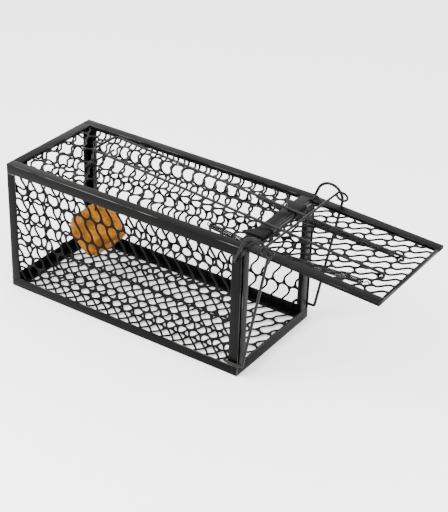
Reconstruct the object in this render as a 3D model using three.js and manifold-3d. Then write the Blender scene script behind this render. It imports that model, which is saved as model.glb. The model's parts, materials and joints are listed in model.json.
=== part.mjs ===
// A live catch trap: a wire-mesh cage with a frame of folded strip, a spring-driven drop door
// hinged along its front top edge, a set rod held down by a bait hook, and a lock bar that
// slides down two guide wires behind the closing door.
//
// Millimetres, +Z up. +X runs along the cage towards the door, +Y across it. The model stands
// on z = 0 with the middle of its bounding box over the origin, and the door is drawn set open.
// Left and right are as seen by someone who faces the door: left is -Y, right is +Y.

import * as THREE from "three";
import { mergeGeometries, mergeVertices } from "three/addons/utils/BufferGeometryUtils.js";
import Module from "manifold-3d";

const wasm = await Module();
wasm.setup();

// ---- Driving dimensions ----

const GAP = 0.3; // between pieces that touch

// Cage frame, of strip steel folded to an angle
const CAGE_LENGTH = 270;
const CAGE_WIDTH = 126;
const CAGE_HEIGHT = 136;
const STRIP = 1.0; // thickness of the strip
const LEG = 10; // width of each leg of the folded strip
const THRESHOLD = 12; // height of the strip under the doorway
const LINTEL = 9; // height of the strip over the doorway
const JAMB = 9; // width of the strip beside the doorway
const CORNER_GROOVE = 3.5; // open groove between a jamb and the side of the cage
const GROOVE_DEPTH = 2.5; // how far back the lip that closes the groove lies

// Expanded mesh
const MESH = 1.0; // thickness of the mesh
const STRAND = 1.7; // width of a strand
const SPINE = 2.2; // width of the seam where two rows of openings meet
const BODY_PITCH = 12.9; // from one opening to the next along a row, cage panels
const BODY_ROW = 24.6; // from one row to the next, cage panels
const BODY_SLANT = 8.2; // sideways run of a strand across a row, cage panels
const DOOR_PITCH = 11.7;
const DOOR_ROW = 20.75;
const DOOR_SLANT = 10;
const LEAST_OPENING = 8; // area below which a cut-off opening is left closed, mm2

// Door
const DOOR_LENGTH = 131.5; // from the hinge axis to the free edge
const DOOR_WIDTH = 120;
const DOOR_TILT = 3.2; // degrees that the set door hangs below level
const HEM_SHEET = 0.8; // thickness of the strip folded round the door's mesh
const HEM_SIDE = 10; // width of the fold along the sides
const HEM_END = 3; // width of the fold along the free edge

// Hinge
const HINGE_WIRE = 2.2; // diameter
const KNUCKLE_PLAY = 0.6; // radial play of a knuckle on the wire
const EYE_WALL = 0.9; // wall of the eye rolled on the end of a door strip
const KNUCKLE_CLEARANCE = 0.4; // between a knuckle and the front face
const KNUCKLE_LENGTH = 17;
const KNUCKLE_Y = 29; // middle of a knuckle from the middle of the door
const LEAF_SHORT = 8; // reach of a hinge leaf on its inner side
const LEAF_LONG = 20; // reach of a hinge leaf on its outer side
const HINGE_WIRE_OVERHANG = 1.5; // wire past the door on each side

// Set rod
const ROD_WIRE = 2.6; // diameter
const ROD_SPACING = 36; // between its two long wires
const ROD_REACH = 113; // its tips from the hinge axis, over the door
const ROD_LENGTH = 317;
const ROD_RISE = 1.1; // degrees that it rises from the door towards the rear
const ROD_BEND = 6; // bend radius of its rear corners

// Guide wires and lock bar
const GUIDE_WIRE = 2.8; // diameter
const GUIDE_SIDE_GAP = 0.4; // between a guide wire and the side of the cage
const GUIDE_FOOT_BACK = 14; // foot of a guide wire, behind the front face
const GUIDE_FOOT_FRONT = 6; // foot of a guide wire, before the front face
const GUIDE_FOOT_HEIGHT = 14;
const GUIDE_LEAN = 10; // degrees that the leg leans away from the cage
const GUIDE_CROOK = 13.5; // radius of the crook at the top
const GUIDE_CROOK_RISE = 1; // centre of the crook above the top of the cage
const GUIDE_CROOK_SWEEP = 171; // degrees turned by the crook
const GUIDE_TAIL_DROP = 14; // end of the crook's tail below the top of the cage
const GUIDE_TAIL_BACK = 6; // end of the crook's tail behind the front face
const GUIDE_HOOK = 7; // length of the foot's end that is turned in through the side mesh
const GUIDE_BEND = 2.4; // bend radius at the foot and the hooks
const GUIDE_HOLE_PLAY = 0.9; // between the wire and its hole in the front post
const LOCK_WIRE = 2.4; // diameter
const LOCK_RING_PLAY = 2.8; // between a guide wire and the ring round it
const LOCK_RING_TILT = 25; // degrees that a ring rises out of level, towards the cage
const LOCK_BACK = 1.6; // middle of the rings behind the line of the guide legs
const LOCK_ABOVE_TOP = 5.3; // lock bar above the top of the cage when the door is set

// Springs
const COIL = 5.8; // outer diameter
const SPRING_HOOK_WIRE = 1.2;
const SPRING_HOOK = 6; // length of the straight hook at each end of the coil
const SPRING_BEND = 8; // bend radius where a spring passes under the lintel
const SPRING_REAR = 54; // rear hook behind the front face
const SPRING_REACH = 107; // front hook from the hinge axis
const SPRING_LEFT_Y = [-37, -33]; // at the rear hook and at the front hook
const SPRING_RIGHT_Y = [38, 24];

// Trigger
const TRIGGER_FROM_REAR = 64; // pivot from the rear face
const HOOK_Y = -8; // the hook lies to the left of the middle of the cage
const PIVOT_WIRE = 2.2; // diameter
const PIVOT_LENGTH = 46;
const HOOK_WIRE = 2.2; // diameter
const HOOK_EYE_PLAY = 0.5; // radial play of the hook's eye on the pivot wire
const CATCH_OVERLAP = 3; // catch past the far side of the set rod
const CATCH_GAP = 0.6; // between the catch and the set rod
const HOOK_LENGTH = 79; // from the pivot down to the middle of the bait
const BAIT_SIZE = [56, 50, 54];
const BAIT_Y = -2; // middle of the bait
const SPIKE_TIP = 8; // tip of the hook below the middle of the bait
const SPIKE_PLAY = 0.3; // between the hook and the bait

// ---- Values worked out from them ----

const HALF_WIDTH = CAGE_WIDTH / 2;
const LEG_INNER_Y = HALF_WIDTH - LEG;
const SIDE_INNER_Y = HALF_WIDTH - STRIP; // inner face of the side strips
const SIDE_CLEAR_Y = SIDE_INNER_Y - GAP; // what fits between the side strips
const MESH_CLEAR_Y = SIDE_CLEAR_Y - MESH - GAP; // what fits between the side meshes
const TOP_MESH_Z = CAGE_HEIGHT - STRIP - GAP - MESH; // underside of the top mesh
const JAMB_OUTER_Y = SIDE_INNER_Y - CORNER_GROOVE;
const KNUCKLE_BORE = HINGE_WIRE / 2 + KNUCKLE_PLAY;
const KNUCKLE_RADIUS = KNUCKLE_BORE + STRIP;
const HINGE_X = CAGE_LENGTH + KNUCKLE_RADIUS + KNUCKLE_CLEARANCE;
const HINGE_Z = CAGE_HEIGHT + GAP + STRIP - KNUCKLE_RADIUS;
const HEM_THICKNESS = MESH + 2 * GAP + 2 * HEM_SHEET;
const EYE_BORE = HINGE_WIRE / 2 + KNUCKLE_PLAY;
const EYE_RADIUS = EYE_BORE + EYE_WALL;
const TILT = THREE.MathUtils.degToRad(DOOR_TILT);
const DOOR_TIP_X = HINGE_X + DOOR_LENGTH * Math.cos(TILT) + (HEM_THICKNESS / 2) * Math.sin(TILT);
const CENTRE_X = DOOR_TIP_X / 2;
const ROD_SEAT = MESH / 2 + GAP + ROD_WIRE / 2; // rod above the middle of the door's mesh
const ROD_SLOPE = Math.tan(THREE.MathUtils.degToRad(ROD_RISE));
const LOCK_RING = (GUIDE_WIRE + LOCK_WIRE) / 2 + LOCK_RING_PLAY; // to the middle of its wire
const ROD_REAR_X = ROD_REACH - ROD_LENGTH;
const ROD_REAR_Z = ROD_SEAT + ROD_LENGTH * ROD_SLOPE;
const GUIDE_Y = HALF_WIDTH + GUIDE_SIDE_GAP + GUIDE_WIRE / 2;
const LEAN = THREE.MathUtils.degToRad(GUIDE_LEAN);

// ---- Materials ----

function paintedSteel() {
  return new THREE.MeshStandardMaterial({ color: 0x2b2b29, roughness: 0.5, metalness: 0.35 });
}

function paintedWire() {
  return new THREE.MeshStandardMaterial({ color: 0x3a3936, roughness: 0.4, metalness: 0.6 });
}

function driedBait() {
  return new THREE.MeshStandardMaterial({ color: 0xc77a22, roughness: 0.75, metalness: 0 });
}

// ---- Geometry helpers ----

function asSolid(geometry) {
  const bare = geometry.index ? geometry.toNonIndexed() : geometry.clone();
  bare.deleteAttribute("normal");
  bare.deleteAttribute("uv");
  const merged = mergeVertices(bare, 1e-4);
  return new wasm.Manifold(
    new wasm.Mesh({
      numProp: 3,
      vertProperties: merged.attributes.position.array,
      triVerts: new Uint32Array(merged.index.array),
    }),
  );
}

function asGeometry(solid) {
  const mesh = solid.getMesh();
  const geometry = new THREE.BufferGeometry();
  geometry.setAttribute("position", new THREE.BufferAttribute(mesh.vertProperties, 3));
  geometry.setIndex(new THREE.BufferAttribute(mesh.triVerts, 1));
  geometry.computeVertexNormals();
  return geometry;
}

function joined(...geometries) {
  return asGeometry(geometries.map(asSolid).reduce((whole, next) => whole.add(next)));
}

function cut(geometry, ...tools) {
  return asGeometry(tools.map(asSolid).reduce((rest, tool) => rest.subtract(tool), asSolid(geometry)));
}

function boxBetween(low, high) {
  const size = high.map((value, axis) => value - low[axis]);
  const middle = high.map((value, axis) => (value + low[axis]) / 2);
  return new THREE.BoxGeometry(...size).translate(...middle);
}

// The same box on the left (side = -1) or right (side = 1), given its nearest and furthest y.
function sideBox(side, [x0, inner, z0], [x1, outer, z1]) {
  const [y0, y1] = side < 0 ? [-outer, -inner] : [inner, outer];
  return boxBetween([x0, y0, z0], [x1, y1, z1]);
}

// A straight piece, round and of the given radius, from one point to another.
function rodBetween(start, end, radius, sides = 10) {
  const from = new THREE.Vector3(...start);
  const along = new THREE.Vector3(...end).sub(from);
  const upright = new THREE.Vector3(0, 1, 0);
  const turn = new THREE.Quaternion().setFromUnitVectors(upright, along.clone().normalize());
  return new THREE.CylinderGeometry(radius, radius, along.length(), sides)
    .applyQuaternion(turn)
    .translate(...from.addScaledVector(along, 0.5).toArray());
}

// A path through given points that keeps exactly those points as its steps.
class BentPath extends THREE.Curve {
  constructor(points) {
    super();
    this.points = points;
  }
  getPoint(t, target = new THREE.Vector3()) {
    const place = t * (this.points.length - 1);
    const index = Math.min(Math.floor(place), this.points.length - 2);
    return target.lerpVectors(this.points[index], this.points[index + 1], place - index);
  }
  getPointAt(u, target) {
    return this.getPoint(u, target);
  }
  getTangentAt(u, target = new THREE.Vector3()) {
    const index = Math.round(u * (this.points.length - 1));
    const before = this.points[Math.max(index - 1, 0)];
    const after = this.points[Math.min(index + 1, this.points.length - 1)];
    return target.subVectors(after, before).normalize();
  }
}

// The points of a bent wire: straight runs between the corners, each corner rounded to a radius.
function bentPoints(corners, radius, steps = 4) {
  const vectors = corners.map((corner) => new THREE.Vector3(...corner));
  const points = [vectors[0]];
  for (let i = 1; i < vectors.length - 1; i++) {
    const back = vectors[i - 1].clone().sub(vectors[i]).normalize();
    const ahead = vectors[i + 1].clone().sub(vectors[i]).normalize();
    const half = back.angleTo(ahead) / 2;
    const reach = radius / Math.tan(half);
    const centreWay = back.clone().add(ahead).normalize();
    const centre = vectors[i].clone().addScaledVector(centreWay, radius / Math.sin(half));
    const start = vectors[i].clone().addScaledVector(back, reach).sub(centre);
    const axis = new THREE.Vector3().crossVectors(ahead, back).normalize();
    const sweep = Math.PI - 2 * half;
    for (let step = 0; step <= steps; step++) {
      const turned = start.clone().applyAxisAngle(axis, (sweep * step) / steps);
      points.push(centre.clone().add(turned));
    }
  }
  points.push(vectors[vectors.length - 1]);
  return points;
}

function wireAlong(points, diameter, sides = 8) {
  const section = new THREE.Shape();
  for (let i = 0; i < sides; i++) {
    const angle = (2 * Math.PI * i) / sides;
    const x = (diameter / 2) * Math.cos(angle);
    const y = (diameter / 2) * Math.sin(angle);
    if (i === 0) section.moveTo(x, y);
    else section.lineTo(x, y);
  }
  section.closePath();
  const extrudePath = new BentPath(points);
  return new THREE.ExtrudeGeometry(section, { steps: points.length - 1, extrudePath });
}

function ringPlate(outer, inner, length) {
  const shape = new THREE.Shape().absarc(0, 0, outer, 0, 2 * Math.PI);
  shape.holes.push(new THREE.Path().absarc(0, 0, inner, 0, 2 * Math.PI, true));
  const options = { depth: length, bevelEnabled: false, curveSegments: 8 };
  return new THREE.ExtrudeGeometry(shape, options).translate(0, 0, -length / 2);
}

// ---- Expanded mesh ----

// The part of a polygon on one side of a line parallel to an axis (0 for x, 1 for y).
function clippedAt(polygon, axis, limit, keepsAbove) {
  const inside = (point) => (keepsAbove ? point[axis] >= limit : point[axis] <= limit);
  const kept = [];
  polygon.forEach((point, i) => {
    const next = polygon[(i + 1) % polygon.length];
    if (inside(point)) kept.push(point);
    if (inside(point) !== inside(next)) {
      const share = (limit - point[axis]) / (next[axis] - point[axis]);
      kept.push(point.map((value, k) => value + share * (next[k] - value)));
    }
  });
  return kept;
}

function areaOf(polygon) {
  const sum = polygon.reduce((total, [x, y], i) => {
    const [nextX, nextY] = polygon[(i + 1) % polygon.length];
    return total + x * nextY - nextX * y;
  }, 0);
  return Math.abs(sum / 2);
}

// A flat panel of expanded mesh. Openings lie in rows between straight spines and slant across
// their row, and each row is shifted so that its openings start between those of the last one.
// p runs along the spines and q across the rows; spinesAlongY turns p from x to y.
function meshPanel({ low, high, windowLow, windowHigh, pitch, row, slant, at, spinesAlongY = false }) {
  const swap = ([x, y]) => (spinesAlongY ? [y, x] : [x, y]);
  const [p0, q0] = swap(windowLow);
  const [p1, q1] = swap(windowHigh);
  const [startP, startQ] = swap(at);
  const openings = [];
  const halfOpening = (pitch - STRAND) / 2;
  const halfRun = (slant * (row - SPINE)) / row / 2;
  const halfTall = (row - SPINE) / 2;
  const rowShift = slant + pitch / 2;
  const firstRow = Math.floor((q0 - startQ) / row) - 1;
  const lastRow = Math.ceil((q1 - startQ) / row) + 1;
  for (let j = firstRow; j <= lastRow; j++) {
    const q = startQ + j * row;
    const rowStart = startP + j * rowShift;
    const first = Math.floor((p0 - rowStart) / pitch) - 2;
    const last = Math.ceil((p1 - rowStart) / pitch) + 2;
    for (let i = first; i <= last; i++) {
      const p = rowStart + i * pitch;
      const whole = [
        [p - halfRun - halfOpening, q - halfTall],
        [p - halfRun + halfOpening, q - halfTall],
        [p + halfRun + halfOpening, q + halfTall],
        [p + halfRun - halfOpening, q + halfTall],
      ];
      const left = clippedAt(clippedAt(whole, 0, p0, true), 0, p1, false);
      const opening = clippedAt(clippedAt(left, 1, q0, true), 1, q1, false);
      if (opening.length < 3 || areaOf(opening) < LEAST_OPENING) continue;
      const shape = new THREE.Shape(opening.map((point) => new THREE.Vector2(...swap(point))));
      const options = { depth: 3 * MESH, bevelEnabled: false };
      openings.push(new THREE.ExtrudeGeometry(shape, options).translate(0, 0, -MESH));
    }
  }
  return cut(boxBetween([...low, 0], [...high, MESH]), mergeGeometries(openings));
}

// ---- Building the scene ----

function piece(name, geometry, material) {
  const mesh = new THREE.Mesh(geometry, material);
  mesh.name = name;
  return mesh;
}

// Turns a piece so that its own x, y and z run along three given directions.
function turned(mesh, x, y, z) {
  const basis = [x, y, z].map((axis) => new THREE.Vector3(...axis));
  mesh.setRotationFromMatrix(new THREE.Matrix4().makeBasis(...basis));
  return mesh;
}

const SIDES = [
  ["left", -1],
  ["right", 1],
];

// Long rails own the corners: each is an angle of a side leg and a leg on the top or bottom.
function longRail(side, isTop) {
  const [sideLow, sideHigh] = isTop ? [CAGE_HEIGHT - LEG, CAGE_HEIGHT] : [0, LEG];
  const [flatLow, flatHigh] = isTop ? [CAGE_HEIGHT - STRIP, CAGE_HEIGHT] : [0, STRIP];
  return joined(
    sideBox(side, [0, SIDE_INNER_Y, sideLow], [CAGE_LENGTH, HALF_WIDTH, sideHigh]),
    sideBox(side, [0, LEG_INNER_Y, flatLow], [CAGE_LENGTH, HALF_WIDTH, flatHigh]),
  );
}

// Cross rails close the ends. Their upright leg is notched to pass over the long rails' legs.
function crossRail(isFront, isTop, uprightLeg) {
  const faceX = isFront ? CAGE_LENGTH : 0;
  const inward = isFront ? -1 : 1;
  const span = (reach) => [faceX, faceX + inward * reach].sort((a, b) => a - b);
  const [uprightNear, uprightFar] = span(STRIP);
  const [flatNear, flatFar] = span(LEG);
  const rise = (from, to) => (isTop ? [CAGE_HEIGHT - to, CAGE_HEIGHT - from] : [from, to]);
  const [wideLow, wideHigh] = rise(STRIP + GAP, uprightLeg);
  const [narrowLow, narrowHigh] = rise(0, uprightLeg);
  const [flatLow, flatHigh] = rise(0, STRIP);
  const narrowY = LEG_INNER_Y - GAP;
  return joined(
    boxBetween([uprightNear, -SIDE_CLEAR_Y, wideLow], [uprightFar, SIDE_CLEAR_Y, wideHigh]),
    boxBetween([uprightNear, -narrowY, narrowLow], [uprightFar, narrowY, narrowHigh]),
    boxBetween([flatNear, -narrowY, flatLow], [flatFar, narrowY, flatHigh]),
  );
}

function rearPost(side) {
  const low = LEG + GAP;
  const high = CAGE_HEIGHT - LEG - GAP;
  return joined(
    sideBox(side, [0, SIDE_INNER_Y, low], [LEG, HALF_WIDTH, high]),
    sideBox(side, [0, LEG_INNER_Y, low], [STRIP, HALF_WIDTH, high]),
  );
}

// The strip up the front of each side, with a lip that closes the groove beside the jamb and a
// hole for the tail of the guide wire.
function frontPost(side) {
  const low = LEG + GAP;
  const high = CAGE_HEIGHT - LEG - GAP;
  const lipX = CAGE_LENGTH - GROOVE_DEPTH;
  const strip = joined(
    sideBox(side, [CAGE_LENGTH - LEG, SIDE_INNER_Y, low], [CAGE_LENGTH, HALF_WIDTH, high]),
    sideBox(side, [lipX - STRIP, JAMB_OUTER_Y + GAP, low], [lipX, HALF_WIDTH, high]),
  );
  const holeX = CAGE_LENGTH - GUIDE_TAIL_BACK;
  const holeZ = CAGE_HEIGHT - GUIDE_TAIL_DROP;
  const hole = rodBetween(
    [holeX, side * (JAMB_OUTER_Y + GAP / 2), holeZ],
    [holeX, side * (HALF_WIDTH + STRIP), holeZ],
    GUIDE_WIRE / 2 + GUIDE_HOLE_PLAY,
    12,
  );
  return cut(strip, hole);
}

function doorJamb(side) {
  const low = THRESHOLD + GAP;
  const high = CAGE_HEIGHT - LINTEL - GAP;
  const back = CAGE_LENGTH - LEG;
  return joined(
    sideBox(side, [CAGE_LENGTH - STRIP, JAMB_OUTER_Y - JAMB, low], [CAGE_LENGTH, JAMB_OUTER_Y, high]),
    sideBox(side, [back, JAMB_OUTER_Y - STRIP, low], [CAGE_LENGTH, JAMB_OUTER_Y, high]),
  );
}

function addFrame(cage) {
  for (const [word, side] of SIDES) {
    cage.add(piece(`bottom_rail_${word}`, longRail(side, false), paintedSteel()));
    cage.add(piece(`top_rail_${word}`, longRail(side, true), paintedSteel()));
    cage.add(piece(`rear_post_${word}`, rearPost(side), paintedSteel()));
    cage.add(piece(`front_post_${word}`, frontPost(side), paintedSteel()));
    cage.add(piece(`door_jamb_${word}`, doorJamb(side), paintedSteel()));
  }
  cage.add(piece("rear_bottom_rail", crossRail(false, false, LEG), paintedSteel()));
  cage.add(piece("rear_top_rail", crossRail(false, true, LEG), paintedSteel()));
  cage.add(piece("threshold_rail", crossRail(true, false, THRESHOLD), paintedSteel()));
  cage.add(piece("lintel_rail", crossRail(true, true, LINTEL), paintedSteel()));
}

// Side panels stand just inside the side strips. A cell is centred on the guide wire's foot, so
// that its hook goes through an opening.
function sideMesh(side) {
  const panel = meshPanel({
    low: [STRIP + GAP, STRIP + GAP],
    high: [CAGE_LENGTH - GROOVE_DEPTH - STRIP - GAP, CAGE_HEIGHT - STRIP - GAP],
    windowLow: [LEG, LEG],
    windowHigh: [CAGE_LENGTH - LEG, CAGE_HEIGHT - LEG],
    pitch: BODY_PITCH,
    row: BODY_ROW,
    slant: side * BODY_SLANT,
    at: [CAGE_LENGTH - GUIDE_FOOT_BACK, GUIDE_FOOT_HEIGHT + GUIDE_HOOK],
  });
  const mesh = turned(piece("", panel, paintedSteel()), [1, 0, 0], [0, 0, 1], [0, -1, 0]);
  mesh.position.y = side < 0 ? -(SIDE_CLEAR_Y - MESH) : SIDE_CLEAR_Y;
  return mesh;
}

// Top and floor panels. An opening is centred on the bait hook, which hangs through the top.
function levelMesh(slant, z) {
  const panel = meshPanel({
    low: [STRIP + 2 * GAP + MESH, -MESH_CLEAR_Y],
    high: [CAGE_LENGTH - STRIP - GAP, MESH_CLEAR_Y],
    windowLow: [LEG, -LEG_INNER_Y],
    windowHigh: [CAGE_LENGTH - LEG, LEG_INNER_Y],
    pitch: BODY_PITCH,
    row: BODY_ROW,
    slant,
    at: [TRIGGER_FROM_REAR - (slant * HOOK_Y) / BODY_ROW, 0],
  });
  const mesh = piece("", panel, paintedSteel());
  mesh.position.z = z;
  return mesh;
}

function rearMesh() {
  const panel = meshPanel({
    low: [-MESH_CLEAR_Y, STRIP + GAP],
    high: [MESH_CLEAR_Y, CAGE_HEIGHT - STRIP - GAP],
    windowLow: [-LEG_INNER_Y, LEG],
    windowHigh: [LEG_INNER_Y, CAGE_HEIGHT - LEG],
    pitch: BODY_PITCH,
    row: BODY_ROW,
    slant: -BODY_SLANT,
    at: [0, CAGE_HEIGHT / 2],
    spinesAlongY: true,
  });
  const mesh = turned(piece("", panel, paintedSteel()), [0, 1, 0], [0, 0, 1], [1, 0, 0]);
  mesh.position.x = STRIP + GAP;
  return mesh;
}

function addMeshes(cage) {
  const panels = {
    left_mesh: sideMesh(-1),
    right_mesh: sideMesh(1),
    top_mesh: levelMesh(-BODY_SLANT, TOP_MESH_Z),
    floor_mesh: levelMesh(BODY_SLANT, STRIP + GAP),
    rear_mesh: rearMesh(),
  };
  for (const [name, mesh] of Object.entries(panels)) {
    mesh.name = name;
    cage.add(mesh);
  }
}

// A leaf lies on the lintel and is rolled round the hinge wire at its front.
function hingeLeaf(side) {
  const inner = side * (KNUCKLE_Y - KNUCKLE_LENGTH / 2);
  const outer = side * (KNUCKLE_Y + KNUCKLE_LENGTH / 2);
  const outline = [
    [HINGE_X, inner],
    [HINGE_X - LEAF_SHORT, inner],
    [HINGE_X - LEAF_LONG, outer],
    [HINGE_X, outer],
  ];
  const shape = new THREE.Shape(outline.map(([x, y]) => new THREE.Vector2(x, y)));
  const leaf = new THREE.ExtrudeGeometry(shape, { depth: STRIP, bevelEnabled: false });
  leaf.translate(0, 0, CAGE_HEIGHT + GAP);
  const knuckle = ringPlate(KNUCKLE_RADIUS, KNUCKLE_BORE, KNUCKLE_LENGTH)
    .rotateX(Math.PI / 2)
    .translate(HINGE_X, side * KNUCKLE_Y, HINGE_Z);
  return joined(leaf, knuckle);
}

function addHinge(cage) {
  for (const [word, side] of SIDES) {
    cage.add(piece(`hinge_leaf_${word}`, hingeLeaf(side), paintedSteel()));
  }
  const reach = DOOR_WIDTH / 2 + HINGE_WIRE_OVERHANG;
  const wire = rodBetween([HINGE_X, -reach, HINGE_Z], [HINGE_X, reach, HINGE_Z], HINGE_WIRE / 2, 12);
  cage.add(piece("hinge_wire", wire, paintedWire()));
}

// The leg of a guide wire as a line: a point at the foot's height and its upward direction.
function crookCentre() {
  const z = CAGE_HEIGHT + GUIDE_CROOK_RISE;
  const rise = z - GUIDE_FOOT_HEIGHT;
  const legX = CAGE_LENGTH + GUIDE_FOOT_FRONT + rise * Math.tan(LEAN);
  return [legX - GUIDE_CROOK / Math.cos(LEAN), z];
}

function guideWire(side) {
  const [centreX, centreZ] = crookCentre();
  const y = side * GUIDE_Y;
  const innerY = side * (GUIDE_Y - GUIDE_HOOK);
  const footX = CAGE_LENGTH - GUIDE_FOOT_BACK;
  const onCrook = (angle) => [
    centreX + GUIDE_CROOK * Math.cos(angle),
    y,
    centreZ + GUIDE_CROOK * Math.sin(angle),
  ];
  const foot = bentPoints(
    [
      [footX, innerY, GUIDE_FOOT_HEIGHT],
      [footX, y, GUIDE_FOOT_HEIGHT],
      [CAGE_LENGTH + GUIDE_FOOT_FRONT, y, GUIDE_FOOT_HEIGHT],
      onCrook(-LEAN),
    ],
    GUIDE_BEND,
  );
  const crookSteps = 14;
  const sweep = THREE.MathUtils.degToRad(GUIDE_CROOK_SWEEP);
  const crook = [];
  for (let step = 1; step < crookSteps; step++) {
    crook.push(new THREE.Vector3(...onCrook(-LEAN + (sweep * step) / crookSteps)));
  }
  const tailX = CAGE_LENGTH - GUIDE_TAIL_BACK;
  const tailZ = CAGE_HEIGHT - GUIDE_TAIL_DROP;
  const tailTip = [tailX, side * SIDE_INNER_Y, tailZ];
  const tail = bentPoints([onCrook(sweep - LEAN), [tailX, y, tailZ], tailTip], GUIDE_BEND);
  return wireAlong([...foot, ...crook, ...tail], GUIDE_WIRE);
}

// The middle of the lock bar's rings.
function lockBarPlace() {
  const z = CAGE_HEIGHT + LOCK_ABOVE_TOP;
  const x = CAGE_LENGTH + GUIDE_FOOT_FRONT + (z - GUIDE_FOOT_HEIGHT) * Math.tan(LEAN);
  return [x - LOCK_BACK, z];
}

function lockBar() {
  const [x, z] = lockBarPlace();
  const tilt = THREE.MathUtils.degToRad(LOCK_RING_TILT);
  const rings = SIDES.map(([, side]) =>
    new THREE.TorusGeometry(LOCK_RING, LOCK_WIRE / 2, 8, 20).rotateY(tilt).translate(x, side * GUIDE_Y, z),
  );
  const barX = x - LOCK_RING * Math.cos(tilt);
  const barZ = z + LOCK_RING * Math.sin(tilt);
  return joined(rodBetween([barX, -GUIDE_Y, barZ], [barX, GUIDE_Y, barZ], LOCK_WIRE / 2, 8), ...rings);
}

// ---- Door ----

// A strip folded round the edge of the door's mesh: a U section, open towards -x.
function hemSection(width) {
  const half = HEM_THICKNESS / 2;
  const inside = half - HEM_SHEET;
  const outline = [
    [-width, -half],
    [0, -half],
    [0, half],
    [-width, half],
    [-width, inside],
    [-HEM_SHEET, inside],
    [-HEM_SHEET, -inside],
    [-width, -inside],
  ];
  return new THREE.Shape(outline.map(([x, y]) => new THREE.Vector2(x, y)));
}

function hemStrip(width, length) {
  return new THREE.ExtrudeGeometry(hemSection(width), { depth: length, bevelEnabled: false });
}

// A side strip ends at the hinge in an eye that turns on the hinge wire.
function doorSideStrip(side) {
  const start = EYE_RADIUS - GAP;
  const length = DOOR_LENGTH - start;
  const outward = new THREE.Matrix4().makeBasis(
    new THREE.Vector3(0, side, 0),
    new THREE.Vector3(0, 0, side),
    new THREE.Vector3(1, 0, 0),
  );
  const strip = hemStrip(HEM_SIDE, length)
    .applyMatrix4(outward)
    .translate(start, (side * DOOR_WIDTH) / 2, 0);
  const eye = ringPlate(EYE_RADIUS, EYE_BORE, HEM_SIDE)
    .rotateX(Math.PI / 2)
    .translate(0, side * (DOOR_WIDTH / 2 - HEM_SIDE / 2), 0);
  const bore = rodBetween([0, -DOOR_WIDTH, 0], [0, DOOR_WIDTH, 0], EYE_BORE, 16);
  return joined(cut(strip, bore), eye);
}

function doorEndStrip() {
  const length = DOOR_WIDTH - 2 * (HEM_SIDE + GAP);
  const across = new THREE.Matrix4().makeBasis(
    new THREE.Vector3(1, 0, 0),
    new THREE.Vector3(0, 0, 1),
    new THREE.Vector3(0, -1, 0),
  );
  return hemStrip(HEM_END, length).applyMatrix4(across).translate(DOOR_LENGTH, length / 2, 0);
}

function doorMesh() {
  const inset = HEM_SHEET + GAP;
  const start = KNUCKLE_RADIUS + GAP;
  const halfWidth = DOOR_WIDTH / 2;
  const panel = meshPanel({
    low: [start, -halfWidth + inset],
    high: [DOOR_LENGTH - inset, halfWidth - inset],
    windowLow: [start + SPINE, -halfWidth + HEM_SIDE],
    windowHigh: [DOOR_LENGTH - HEM_END, halfWidth - HEM_SIDE],
    pitch: DOOR_PITCH,
    row: DOOR_ROW,
    slant: DOOR_SLANT,
    at: [DOOR_LENGTH - DOOR_ROW / 2, 0],
    spinesAlongY: true,
  });
  return panel.translate(0, 0, -MESH / 2);
}

// The set rod is one wire bent to a long U. Its tips lie on the door and its closed end reaches
// back over the cage, where the catch of the bait hook holds it down.
function setRod() {
  const y = ROD_SPACING / 2;
  const corners = [
    [ROD_REACH, -y, ROD_SEAT],
    [ROD_REAR_X, -y, ROD_REAR_Z],
    [ROD_REAR_X, y, ROD_REAR_Z],
    [ROD_REACH, y, ROD_SEAT],
  ];
  return wireAlong(bentPoints(corners, ROD_BEND, 5), ROD_WIRE);
}

function buildDoor() {
  const door = new THREE.Group();
  door.position.set(HINGE_X, 0, HINGE_Z);
  door.rotation.y = TILT;
  for (const [word, side] of SIDES) {
    door.add(piece(`door_strip_${word}`, doorSideStrip(side), paintedSteel()));
  }
  door.add(piece("door_end_strip", doorEndStrip(), paintedSteel()));
  door.add(piece("door_mesh", doorMesh(), paintedSteel()));
  door.add(piece("set_rod", setRod(), paintedWire()));
  return door;
}

// ---- Springs ----

// A tension spring from under the top mesh, round the lower edge of the lintel, to the underside
// of the door's mesh: the envelope of its coil, with a straight hook at each end.
function spring([rearY, frontY]) {
  const rearX = CAGE_LENGTH - SPRING_REAR;
  const rear = new THREE.Vector3(rearX, rearY, TOP_MESH_Z - GAP - COIL / 2);
  const under = MESH / 2 + GAP + SPRING_HOOK_WIRE / 2;
  const front = new THREE.Vector3(SPRING_REACH, frontY, -under - COIL / 4);
  front.applyAxisAngle(new THREE.Vector3(0, 1, 0), TILT);
  front.add(new THREE.Vector3(HINGE_X, 0, HINGE_Z));
  const turnY = rearY + ((frontY - rearY) * SPRING_REAR) / (front.x - rearX);
  const turnZ = CAGE_HEIGHT - LINTEL - 2 * GAP - COIL / 2;
  const turn = new THREE.Vector3(CAGE_LENGTH - STRIP / 2, turnY, turnZ);
  const towardsTurn = (end, distance) =>
    turn.clone().sub(end).setLength(distance).add(end).toArray();
  const coilEnds = [towardsTurn(rear, SPRING_HOOK), turn.toArray(), towardsTurn(front, SPRING_HOOK)];
  return joined(
    wireAlong(bentPoints(coilEnds, SPRING_BEND), COIL, 10),
    rodBetween(rear.toArray(), towardsTurn(rear, SPRING_HOOK + 1), SPRING_HOOK_WIRE / 2, 8),
    rodBetween(front.toArray(), towardsTurn(front, SPRING_HOOK + 1), SPRING_HOOK_WIRE / 2, 8),
  );
}

// ---- Trigger ----

const PIVOT_Z = TOP_MESH_Z + MESH + GAP + PIVOT_WIRE / 2; // the wire lies on the top mesh
const BAIT_Z = PIVOT_Z - HOOK_LENGTH;

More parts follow.
